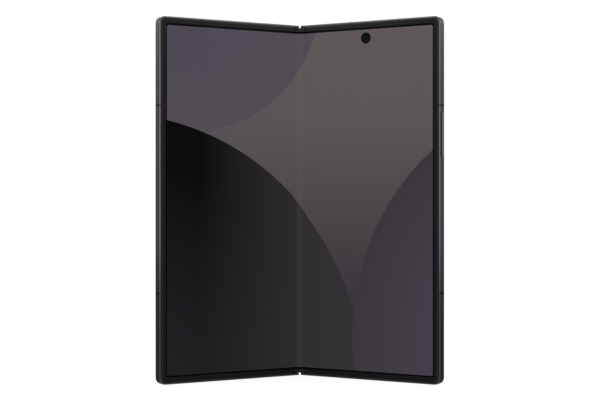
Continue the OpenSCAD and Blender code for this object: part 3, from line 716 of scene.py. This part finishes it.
def turned_material(name, inner, outer, rough, pitch, height, specular, metallic=0.0, tint=(1.0, 1.0, 1.0)):
    """A turned part: tone from its middle to its rim, and fine rings, by pitch and height in millimetres."""
    material, t, sockets, spot = new_material(
        name, Metallic=metallic, Specular_IOR_Level=specular, Specular_Tint=shaded(tint)
    )
    radius, _, _ = t.split(t.add("ShaderNodeUVMap", uv_map="turned").outputs[0])
    rings = t.math("SINE", t.math("MULTIPLY", radius, 2 * math.pi * TURNED_UV_LENGTH / pitch))
    t.link(t.mix(t.span(radius, 0.0, 0.5), shaded(inner), shaded(outer)), sockets["Base Color"])
    smears = t.place(SMUDGES, Vector=spot, Low=rough[0], High=rough[1])
    t.link(smears["Roughness"], sockets["Roughness"])
    t.link(t.bump(rings, strength=0.5, distance=height * MM).outputs[0], sockets["Normal"])
    return material


# ---------------------------------------------------------------- materials
frame_metal = rail_metal(
    "Dark anodised rail", (0.0172, 0.0168, 0.021), (0.046, 0.045, 0.052), rough=(0.26, 0.32)
)
antenna_polymer = rail_metal(
    "Antenna break polymer", (0.0105, 0.0105, 0.012), (0.024, 0.0235, 0.027), rough=(0.3, 0.36), grazing=0.2
)
# On the keys the bright tone also covers every face that looks to the front: a painted highlight.
key_metal = rail_metal(
    "Key metal", (0.006, 0.0058, 0.0075), (0.15, 0.148, 0.16), rough=(0.22, 0.3),
    front_plain=1.1, metallic=0.8,
)
spine_metal = metal("Satin spine metal", (0.03, 0.03, 0.035), (0.09, 0.09, 0.1), rough=(0.16, 0.26))
island_metal = metal(
    "Blasted island metal", (0.02, 0.02, 0.024), (0.05, 0.05, 0.056), rough=(0.3, 0.4), wear=0.3
)
steel = metal(
    "Bare steel", (0.42, 0.42, 0.43), (0.6, 0.6, 0.6), rough=(0.25, 0.4), wear=0.4, grain_scale=3000.0
)
cast_plate = metal(
    "Cast plate", (0.3, 0.3, 0.31), (0.45, 0.45, 0.45), rough=(0.4, 0.6), wear=0.3, grain_scale=2500.0
)
copper = metal("Copper", (0.55, 0.28, 0.14), (0.7, 0.42, 0.25), rough=(0.25, 0.4), wear=0.3)
gold = metal("Gold contacts", (0.65, 0.47, 0.2), (0.8, 0.6, 0.3), rough=(0.2, 0.3), wear=0.2)
# The bezel's rim tone is a painted highlight along its outer rounding.
bezel_polymer = moulded(
    "Matt bezel polymer", (0.003, 0.003, 0.0028), rough=(0.3, 0.4), specular=0.06, rim=(0.022, 0.0215, 0.024)
)
black_polymer = moulded("Black moulding", (0.003, 0.003, 0.004), rough=(0.35, 0.5), specular=0.1)
seal_rubber = moulded("Gasket", (0.01, 0.01, 0.01), rough=(0.7, 0.85))
board_green = moulded("Circuit board", (0.015, 0.06, 0.035), rough=(0.3, 0.5), grain_scale=1500.0)
battery_foil = moulded("Battery pouch", (0.03, 0.032, 0.042), rough=(0.35, 0.55), grain_scale=1200.0)
mesh_cloth = moulded(
    "Acoustic mesh", (0.006, 0.006, 0.006), rough=(0.6, 0.8), grain_scale=2500.0, strength=0.8,
    specular=0.2, wear=0.0,
)
rear_glass = polished("Etched rear glass", (0.016, 0.0165, 0.02), rough=(0.3, 0.4), specular=0.3)
front_glass = polished("Black cover glass", (0.003, 0.003, 0.004), rough=(0.05, 0.12), specular=0.35)
ring_finish = turned_material(
    "Turned ring", (0.06, 0.06, 0.065), (0.035, 0.035, 0.04), rough=(0.16, 0.24),
    pitch=0.12, height=0.002, specular=0.5, metallic=1.0,
)
lens_black = turned_material(
    "Lens surround", (0.001, 0.001, 0.001), (0.004, 0.004, 0.004), rough=(0.1, 0.2),
    pitch=0.5, height=0.004, specular=0.3,
)
lens_dome = turned_material(
    "Coated lens", (0.001, 0.001, 0.002), (0.003, 0.002, 0.006), rough=(0.02, 0.05),
    pitch=2.0, height=0.0005, specular=0.25, tint=(0.6, 0.65, 0.9),
)
inner_camera_glass = turned_material(
    "Inner camera glass", (0.0045, 0.0045, 0.005), (0.0, 0.0, 0.0), rough=(0.1, 0.16),
    pitch=2.0, height=0.0005, specular=0.006,
)
flash_lens = turned_material(
    "Flash diffuser", (0.62, 0.58, 0.44), (0.5, 0.47, 0.38), rough=(0.12, 0.2),
    pitch=0.3, height=0.03, specular=0.5,
)

NODE_FINISH = {
    "frame_metal": frame_metal,
    "bezel_polymer": bezel_polymer,
    "antenna_polymer": antenna_polymer,
    "display": front_glass,
    "cover_glass_black": front_glass,
    "rear_glass": rear_glass,
    "lens_glass": front_glass,
    "steel": steel,
    "hinge_metal": spine_metal,
    "magnesium": cast_plate,
    "board": board_green,
    "battery": battery_foil,
    "copper": copper,
    "black_polymer": black_polymer,
    "seal": seal_rubber,
    "flash": flash_lens,
}


def finish_cad_nodes():
    """Gives every CAD node the finish of its material slot."""
    for subpart in record["subparts"]:
        obj = frame["nodes"][subpart["node"]]
        finish = NODE_FINISH[subpart["material_slot"]]
        if not obj.material_slots:
            obj.data.materials.append(finish)
        for slot in obj.material_slots:
            slot.material = finish


finish_cad_nodes()


# ---------------------------------------------------------------- the display's picture
# The picture's coordinates are lengths on the flat display, in units of FLAT_UV_LENGTH from the fold
# and from the bottom edge.
def flat_length(length):
    """A length in millimetres as one on the picture."""
    return length / FLAT_UV_LENGTH


def wallpaper(t, flat):
    """Dusky gradients with three large discs."""
    across, height, _ = t.split(flat)
    ground = t.ramp(t.span(height, 0.0, 1.58), (
        (0.0, srgb(45, 42, 48)), (0.3, srgb(62, 58, 63)), (0.55, srgb(80, 75, 77)),
        (0.75, srgb(93, 86, 86)), (1.0, srgb(95, 87, 87)),
    ))
    left = t.span(across, 0.1, -0.7)
    ground = t.mix(t.math("MULTIPLY", left, 0.6), ground, srgb(84, 77, 87))

    high = t.place(PICTURE_DISC, Vector=flat, Centre=(-0.62, 1.86, 0), Radius=0.78, Fade=0.9)
    violet = t.mix(high["Depth"], srgb(82, 75, 83), srgb(72, 69, 83))
    ground = t.mix(high["Inside"], ground, violet)

    low = t.place(PICTURE_DISC, Vector=flat, Centre=(-0.92, -0.12, 0), Radius=1.28, Fade=0.95)
    dusk = t.mix(t.span(low["Depth"], 0.2, 1.0), srgb(7, 7, 8), srgb(33, 30, 34))
    dusk = t.mix(t.span(across, -0.52, 0.1), dusk, srgb(50, 47, 51))
    ground = t.mix(low["Inside"], ground, dusk)

    plum = t.place(PICTURE_DISC, Vector=flat, Centre=(1.34, 0.18, 0), Radius=1.06, Fade=0.5)
    wine = t.mix(plum["Depth"], srgb(58, 54, 59), srgb(71, 65, 76))
    return t.mix(plum["Inside"], ground, wine)


def active_mask(t, flat):
    """1 on the lit area, 0 on the black border, with small round corners."""
    across, height, _ = t.split(flat)
    corner, soft = flat_length(ACTIVE_CORNER), flat_length(ACTIVE_SOFT)
    outward = t.math("SUBTRACT", t.math("ABSOLUTE", across), flat_length(ACTIVE_W) - corner)
    from_middle = t.math("ABSOLUTE", t.math("SUBTRACT", height, flat_length(BODY_H / 2)))
    upward = t.math("SUBTRACT", from_middle, flat_length(BODY_H / 2 - ACTIVE_MARGIN) - corner)
    past_corner = t.add("ShaderNodeCombineXYZ")
    t.link(t.math("MAXIMUM", outward, 0.0), past_corner.inputs[0])
    t.link(t.math("MAXIMUM", upward, 0.0), past_corner.inputs[1])
    lit = t.span(t.measure("LENGTH", past_corner.outputs[0]), corner + soft, corner - soft)
    from_punch = t.measure("DISTANCE", flat, (flat_length(PUNCH[0]), flat_length(PUNCH[1]), 0))
    rim = (flat_length(PUNCH_R - PUNCH_SOFT), flat_length(PUNCH_R + PUNCH_SOFT))
    return t.math("MULTIPLY", lit, t.span(from_punch, *rim))


def display_material():
    """Black glass with the picture shining through on its lit area."""
    material, t, sockets, spot = new_material(
        "Lit display", Base_Color=(0.0003, 0.0003, 0.0004, 1.0), Specular_IOR_Level=0.01,
        Emission_Strength=1.0,
    )
    flat = t.add("ShaderNodeUVMap", uv_map="flat").outputs[0]
    picture = wallpaper(t, flat)
    # Painted sheen: the pressed strip at the fold is mixed a little towards a pale grey, as if it caught more
    # light
    across, _, _ = t.split(flat)
    crease = t.span(t.math("ABSOLUTE", across), 0.03, 0.0, smooth=True)
    picture = t.mix(t.math("MULTIPLY", crease, 0.05), picture, srgb(120, 116, 118))
    t.link(t.mix(active_mask(t, flat), (0, 0, 0, 1), picture), sockets["Emission Color"])
    smears = t.place(SMUDGES, Vector=spot, Low=0.12, High=0.22)
    t.link(smears["Roughness"], sockets["Roughness"])
    return material


lit_display = display_material()


# ---------------------------------------------------------------- inner display
HALVINGS = 40


def bent_place(u, v, reach):
    """Where a point of the flat display lies at rest.

    It turns about the pivot by the share of the fold that its own place gives, as the moving strip does,
    so the display comes out flat when the phone is opened flat. The place and the share depend on each
    other and are found by halving the range.
    """
    low, high = 0.0, 1.0
    for _ in range(HALVINGS):
        share = (low + high) / 2
        spot = min(1.0, max(0.0, folded(u, v, share)[0] / reach))
        if spot * spot * (3 - 2 * spot) > share:
            low = share
        else:
            high = share
    return folded(u, v, (low + high) / 2)


def display_half(name, side):
    """One half of the flexible display, from the fold plane to the outer border."""
    bm = half_plate(PANEL_INSET, 0.0, CORNER_R - PANEL_INSET, PANEL_FRONT, PANEL_BACK, segments=5)
    if side == RIGHT:
        bm = carved(bm, disc(*PUNCH, PUNCH_R, PANEL_FRONT - CLEAR, PANEL_BACK + CLEAR))
    cut_across(bm, [BEND_CUTS_END * i / BEND_CUTS for i in range(1, BEND_CUTS + 1)])
    for vert in bm.verts:
        if vert.co.x < BEND_HALF:
            vert.co.z = min(max(vert.co.z, FOLD_END), BODY_H - FOLD_END)
    layer = bm.loops.layers.uv.new("flat")
    for face in bm.faces:
        for loop in face.loops:
            spot = loop.vert.co
            loop[layer].uv = (side * flat_length(spot.x), flat_length(spot.z))
    reach = folded(BEND_HALF, PANEL_FRONT)[0]
    for vert in bm.verts:
        vert.co.x, vert.co.y = bent_place(vert.co.x, vert.co.y, reach)
    return bending_piece(name, bm, side, lit_display)


display_right = display_half("flexible_display_right", RIGHT)
display_left = display_half("flexible_display_left", LEFT)
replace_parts(display_right, "inner_display_right", "inner_display_fold")
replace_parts(display_left, "inner_display_left")


# ---------------------------------------------------------------- flat cable across the fold
def softened(path, rounds):
    """The path with its inner corners cut, as often as asked."""
    for _ in range(rounds):
        cut = [path[0]]
        for a, b in zip(path, path[1:]):
            cut += [a.lerp(b, 0.25), a.lerp(b, 0.75)]
        path = cut + [path[-1]]
    return path


def cable_half(name, side):
    """One half of the flat cable: a slack loop from the fold plane and a tail held in the half."""
    points = [Vector(p) for p in CABLE_LOOP] + [Vector(folded(*p)) for p in CABLE_TAIL]
    path = softened(points, rounds=2)
    steps = len(path) - 1
    # A straight strip as long as the path has steps is cut at each step and laid on the path
    bm = new_block((0, -CABLE_T / 2, CABLE_LOW), (steps, CABLE_T / 2, CABLE_HIGH))
    cut_across(bm, range(1, steps))
    for vert in bm.verts:
        i = round(vert.co.x)
        onward = (path[min(steps, i + 1)] - path[max(0, i - 1)]).normalized()
        if i == 0:
            onward = Vector((1, 0))
        vert.co.x, vert.co.y = path[i] + Vector((-onward.y, onward.x)) * vert.co.y
    return bending_piece(name, bm, side, copper)


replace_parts(cable_half("flex_cable_right", RIGHT), "hinge_flex_cable")
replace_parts(cable_half("flex_cable_left", LEFT), "hinge_flex_cable")


# ---------------------------------------------------------------- bezels
def bezel_half(name, side):
    """The raised bezel: a lip over the display's border and a foot on the rail, with soft edges."""
    start = BEZEL_START - CLEAR
    bm = half_plate(
        BEZEL_OUTER, BEZEL_START, CORNER_R - BEZEL_OUTER, -BEZEL_PROUD, PANEL_BACK, segments=12
    )
    window = half_plate(BEZEL_INNER, start, BEZEL_WINDOW_R, -CLEAR, CLEAR, segments=5)
    under = half_plate(
        PANEL_INSET - BEZEL_LAP, start, CORNER_R - PANEL_INSET, PANEL_FRONT, CLEAR, segments=5
    )
    bm = carved(bm, window, under)
    soften_rim(bm, V, -BEZEL_PROUD, BEZEL_EDGE, segments=4)
    return half_piece(name, bm, side, bezel_polymer, crease=40)


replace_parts(bezel_half("raised_bezel_right", RIGHT), "main_bezel")
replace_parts(bezel_half("raised_bezel_left", LEFT), "cover_bezel")


# ---------------------------------------------------------------- keys
def key_bar(middle, length, start, end):
    """A block across the key's depth, about its middle height and from one u to another."""
    low = (start, KEY_DEPTH - KEY_H / 2, middle - length / 2)
    return new_block(low, (end, KEY_DEPTH + KEY_H / 2, middle + length / 2))


def key(name, middle, length, top, edge, finish, body):
    """A key: a cap with round ends and a softened rim, and the flange that holds it in the rail."""
    cap = key_bar(middle, length, KEY_FLANGE_U + KEY_FLANGE_T, top)
    round_sides(cap, U, KEY_H / 2 - 2 * ROUND_SHORT, segments=8)
    soften_rim(cap, U, top, edge, segments=3)
    flange = key_bar(middle, length + 2 * KEY_FLANGE_OVER, KEY_FLANGE_U, KEY_FLANGE_U + KEY_FLANGE_T)
    return piece(name, joined(cap, flange), half_place(RIGHT), body, finish, crease=35)


volume_rocker = key(
    "volume_rocker", *VOLUME_KEY, HALF_W + VOLUME_PROUD, VOLUME_EDGE, key_metal, "volume_key"
)
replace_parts(volume_rocker, "volume_key")
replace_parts(key("power_key", *SIDE_KEY, HALF_W, SIDE_EDGE, frame_metal, "side_key"), "side_key")


# ---------------------------------------------------------------- rear side of the main half
def sheet():
    """The glass sheet on a half's back, with a softened rim, before its openings are cut."""
    bm = half_plate(
        SHEET_INSET, SHEET_START, CORNER_R - SHEET_INSET, SHEET_FRONT, FRAME_T, segments=12
    )
    soften_rim(bm, V, FRAME_T, SHEET_EDGE, segments=4)
    return bm


def turned_at_lenses(profile, steps):
    """The same turned part at each of the three lenses."""
    return joined(*[lathe(profile, LENS_U, z, steps) for z in LENS_ZS])


def rear_cover():
    """The rear sheet, open for the camera island and the flash."""
    front, back = SHEET_FRONT - CLEAR, FRAME_T + CLEAR
    island = capsule(LENS_U, LENS_ZS[0], LENS_ZS[-1], ISLAND_R + ISLAND_GAP, front, back, segments=20)
    bm = carved(sheet(), island, disc(*FLASH, FLASH_HOLE_R, front, back))
    return half_piece("rear_glass_cover", bm, RIGHT, rear_glass, crease=40)


def camera_island():
    """The raised plate about the three lenses, with a bore for each."""
    island = capsule(
        LENS_U, LENS_ZS[0], LENS_ZS[-1], ISLAND_R, ISLAND_FRONT, ISLAND_BACK, segments=24
    )
    soften_rim(island, V, ISLAND_BACK, ISLAND_EDGE, segments=5)
    bores = [disc(LENS_U, z, LENS_BORE, ISLAND_FRONT - CLEAR, ISLAND_BACK + CLEAR) for z in LENS_ZS]
    return half_piece("camera_plateau", carved(island, *bores), RIGHT, island_metal, crease=40)


def camera_rings():
    """The turned rings round the lenses."""
    profile = [
        (RING_IN, ISLAND_BACK), (RING_IN, RING_BACK - 0.18), (RING_IN + 0.12, RING_BACK - 0.04),
        (RING_IN + 0.3, RING_BACK), (RING_R - 0.35, RING_BACK), (RING_R - 0.12, RING_BACK - 0.06),
        (RING_R, RING_BACK - 0.25), (RING_R, ISLAND_BACK), (RING_IN, ISLAND_BACK),
    ]
    rings = turned_at_lenses(profile, steps=96)
    return half_piece("camera_trim_rings", rings, RIGHT, ring_finish, crease=25)


def lens_surrounds():
    """The stepped black wells inside the rings."""
    profile = [
        (0, ISLAND_BACK), (WELL_R, ISLAND_BACK), (WELL_R, WELL_BACK - 0.1), (5.3, WELL_BACK - 0.02),
        (5.2, WELL_BACK), (4.1, WELL_BACK), (4.0, WELL_BACK - 0.03), (3.5, WELL_STEP), (3.42, WELL_STEP),
        (3.36, WELL_STEP - 0.08), (2.9, WELL_FLOOR), (2.84, WELL_FLOOR), (0, WELL_FLOOR),
    ]
    wells = turned_at_lenses(profile, steps=96)
    return half_piece("lens_surrounds", wells, RIGHT, lens_black, crease=25)


def lens_domes():
    """The domed front lenses in the middles of the wells."""
    count = 10
    angles = [math.pi / 2 * i / count for i in range(count + 1)]
    profile = [(DOME_R * math.sin(a), DOME_FOOT + DOME_CROWN * math.cos(a)) for a in angles]
    profile += [(DOME_R, DOME_FOOT - 0.1), (0, DOME_FOOT - 0.1)]
    domes = turned_at_lenses(profile, steps=64)
    return half_piece("lens_domes", domes, RIGHT, lens_dome, crease=50)


def flash():
    """The round window of the flash, flush with the rear sheet."""
    front = SHEET_FRONT - 0.1
    profile = [
        (0, front), (FLASH_R, front), (FLASH_R, FRAME_T - 0.1), (FLASH_R - 0.1, FRAME_T - 0.02), (0, FRAME_T),
    ]
    return half_piece("flash_window", lathe(profile, *FLASH), RIGHT, flash_lens)


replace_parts(rear_cover(), "rear_cover")
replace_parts(camera_island(), "camera_island")
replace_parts(camera_rings(), "camera_lens_rings")
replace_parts(lens_surrounds(), "camera_lens_glasses")
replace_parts(lens_domes(), "camera_lens_glasses")
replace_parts(flash(), "flash_lens")


# ---------------------------------------------------------------- cover glass of the other half
def cover_glass():
    """The cover half's sheet, with a recess for its camera."""
    bm = carved(sheet(), disc(*COVER_CAMERA, COVER_RECESS_R, COVER_RECESS, FRAME_T + CLEAR))
    return half_piece("cover_display_glass", bm, LEFT, front_glass, crease=40)


def cover_lens():
    """The cover camera's lens, set a little below the glass."""
    back = COVER_LENS_BACK
    profile = [
        (0, COVER_RECESS), (COVER_LENS_R, COVER_RECESS), (COVER_LENS_R, back), (1.0, back),
        (0.95, back - 0.05), (0.5, back - 0.01), (0, back + 0.01),
    ]
    bm = lathe(profile, *COVER_CAMERA, steps=48)
    return half_piece("cover_camera_lens", bm, LEFT, lens_dome, crease=50)


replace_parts(cover_glass(), "cover_glass")
cover_lens()


# ---------------------------------------------------------------- inner camera lens
def inner_lens():
    """The inner camera's glass in the display's punch hole."""
    front = PANEL_FRONT
    profile = [
        (0, front + 0.025), (INNER_LENS_R, front + 0.025), (INNER_LENS_R, front + 0.015),
        (1.3, front + 0.015), (1.22, front + 0.02), (0.7, front + 0.008), (0, front + 0.004),
    ]
    bm = lathe(profile, *PUNCH)
    return half_piece("inner_camera_lens", bm, RIGHT, inner_camera_glass, crease=50)


inner_lens()


# ---------------------------------------------------------------- port contacts and acoustic meshes
def port_contacts():
    """Two rows of contact bars on the tongue of the charging port."""
    count, pitch, width, proud, from_tongue = 12, 0.5, 0.25, 0.03, 0.35
    low, high = 1.3, 5.0
    bars = []
    for row in (-1, 1):
        for i in range(count):
            u = PORT[0] + (i - (count - 1) / 2) * pitch
            v = PORT[1] + row * from_tongue
            bars.append(new_block((u - width / 2, v - proud, low), (u + width / 2, v + proud, high)))
    return half_piece("port_contacts", joined(*bars), RIGHT, gold)


def acoustic_mesh(name, side, start, end, low, high):
    """The woven mesh behind a row of slots."""
    bm = new_block((start, MESH_FRONT, low), (end, MESH_BACK, high))
    return half_piece(name, bm, side, mesh_cloth)


port_contacts()
acoustic_mesh("bottom_speaker_mesh", RIGHT, *SPEAKER_SLOTS, MESH_LOW, MESH_HIGH)
acoustic_mesh("earpiece_mesh", LEFT, *EARPIECE_SLOT, BODY_H - MESH_HIGH, BODY_H - MESH_LOW)


# ---------------------------------------------------------------- light, floor and camera
# Places and sizes in this section are in metres.
MIDDLE = (0, 0, BODY_H / 2 * MM)
STRIP_AIM = (0, 0, 0.31)
WASH_AIM = (0, 0, 0.1)
HIGH_AIM = (0, 0, 0.16)
BACK_AIM = (0, 0, 0.25)

# Name, place, point that it faces, width and height, power
LAMPS = (
    ("Overhead softbox", (0.0, 0.05, 0.75), MIDDLE, (0.9, 0.6), 3.4),
    ("Front softbox", (0.0, -0.85, 0.95), MIDDLE, (0.9, 0.5), 2.0),
    ("Front strip", (0.0, -0.85, 0.31), STRIP_AIM, (0.34, 0.6), 1.5),
    ("Left wash", (-0.40, -0.14, 0.34), WASH_AIM, (0.25, 0.3), 1.15),
    ("Right wash", (0.40, -0.14, 0.34), WASH_AIM, (0.25, 0.3), 1.15),
    ("Left high", (-0.40, -0.09, 0.58), HIGH_AIM, (0.35, 0.3), 0.35),
    ("Right high", (0.40, -0.09, 0.58), HIGH_AIM, (0.35, 0.3), 0.35),
    ("Back left strip", (-0.45, 0.22, 0.27), BACK_AIM, (0.3, 0.48), 1.3),
    ("Back right strip", (0.45, 0.22, 0.27), BACK_AIM, (0.3, 0.48), 1.2),
    ("Back left top", (-0.45, 0.22, 0.41), BACK_AIM, (0.3, 0.41), 2.8),
    ("Back right top", (0.45, 0.22, 0.41), BACK_AIM, (0.3, 0.41), 2.8),
    ("Back softbox", (0.0, 0.9, 0.6), MIDDLE, (1.0, 0.5), 3.0),
)

# How strong the surroundings are as a light, where 1 is their strength as a background
SURROUNDINGS = 0.6

# The floor's half width, its share of plain white near the object, and the radii over which that rises to 1
FLOOR_HALF = 30
FLOOR_PLAIN = 0.9
SHADOW_REACH = (0.15, 0.6)


def lamp(name, spot, aim, size, power):
    """A softbox that lights the object and stays out of the camera's sight."""
    light = bpy.data.lights.new(name, "AREA")
    light.shape = "RECTANGLE"
    light.size, light.size_y = size
    light.energy = power
    obj = bpy.data.objects.new(name, light)
    obj.location = spot
    obj.visible_camera = False
    obj.rotation_euler = (Vector(aim) - Vector(spot)).to_track_quat("-Z", "Y").to_euler()
    bpy.context.scene.collection.objects.link(obj)


def background_seen(t):
    """1 for the rays that show the background: from the camera, off gloss and through glass."""
    rays = t.add("ShaderNodeLightPath").outputs
    seen = t.math("MAXIMUM", rays["Is Camera Ray"], rays["Is Glossy Ray"])
    return t.math("MAXIMUM", seen, rays["Is Transmission Ray"])


def studio():
    """White surroundings, dimmer as a light than as a background, and the lamps."""
    world = bpy.data.worlds.new("Studio")
    bpy.context.scene.world = world
    world.use_nodes = True
    t = Tree(world.node_tree)
    background = world.node_tree.nodes["Background"].inputs
    background["Color"].default_value = (1, 1, 1, 1)
    t.link(t.span(background_seen(t), 0.0, 1.0, SURROUNDINGS, 1.0), background["Strength"])
    for settings in LAMPS:
        lamp(*settings)


def floor():
    """A matt white floor that keeps its shadow near the object and is plain white further out."""
    bm = bmesh.new()
    bmesh.ops.create_grid(bm, x_segments=1, y_segments=1, size=FLOOR_HALF)
    obj = new_object("floor", bm)
    material, t, _, spot = new_material(
        "White sweep", Base_Color=(0.86, 0.86, 0.86, 1.0), Roughness=0.9, Specular_IOR_Level=0.0
    )
    surface = material.node_tree.nodes["Material Output"].inputs["Surface"]
    matt = surface.links[0].from_socket
    glow = t.add("ShaderNodeEmission").outputs[0]
    plain = t.span(t.measure("LENGTH", spot), *SHADOW_REACH, FLOOR_PLAIN, 1.0, smooth=True)
    mix = t.add("ShaderNodeMixShader")
    t.link(t.math("MULTIPLY", background_seen(t), plain), mix.inputs[0])
    t.link(matt, mix.inputs[1])
    t.link(glow, mix.inputs[2])
    t.link(mix.outputs[0], surface)
    obj.data.materials.append(material)


def camera():
    """The photograph's view, fitted to the phone's outline in it."""
    data = bpy.data.cameras.new("Camera")
    data.sensor_fit = "HORIZONTAL"
    data.sensor_width = SENSOR_W
    data.lens = FOCAL_PIXELS * SENSOR_W / IMAGE_W
    data.clip_start = 0.01
    obj = bpy.data.objects.new("Camera", data)
    depth = PIVOT.y - PIVOT_DEPTH - CAMERA_DISTANCE
    obj.location = (CAMERA_SIDE * MM, depth * MM, (BODY_H / 2 - CAMERA_DROP) * MM)
    obj.rotation_euler = (math.radians(90), 0, 0)
    bpy.context.scene.collection.objects.link(obj)
    bpy.context.scene.camera = obj


studio()
floor()
camera()
bpy.context.scene.view_settings.view_transform = "Standard"
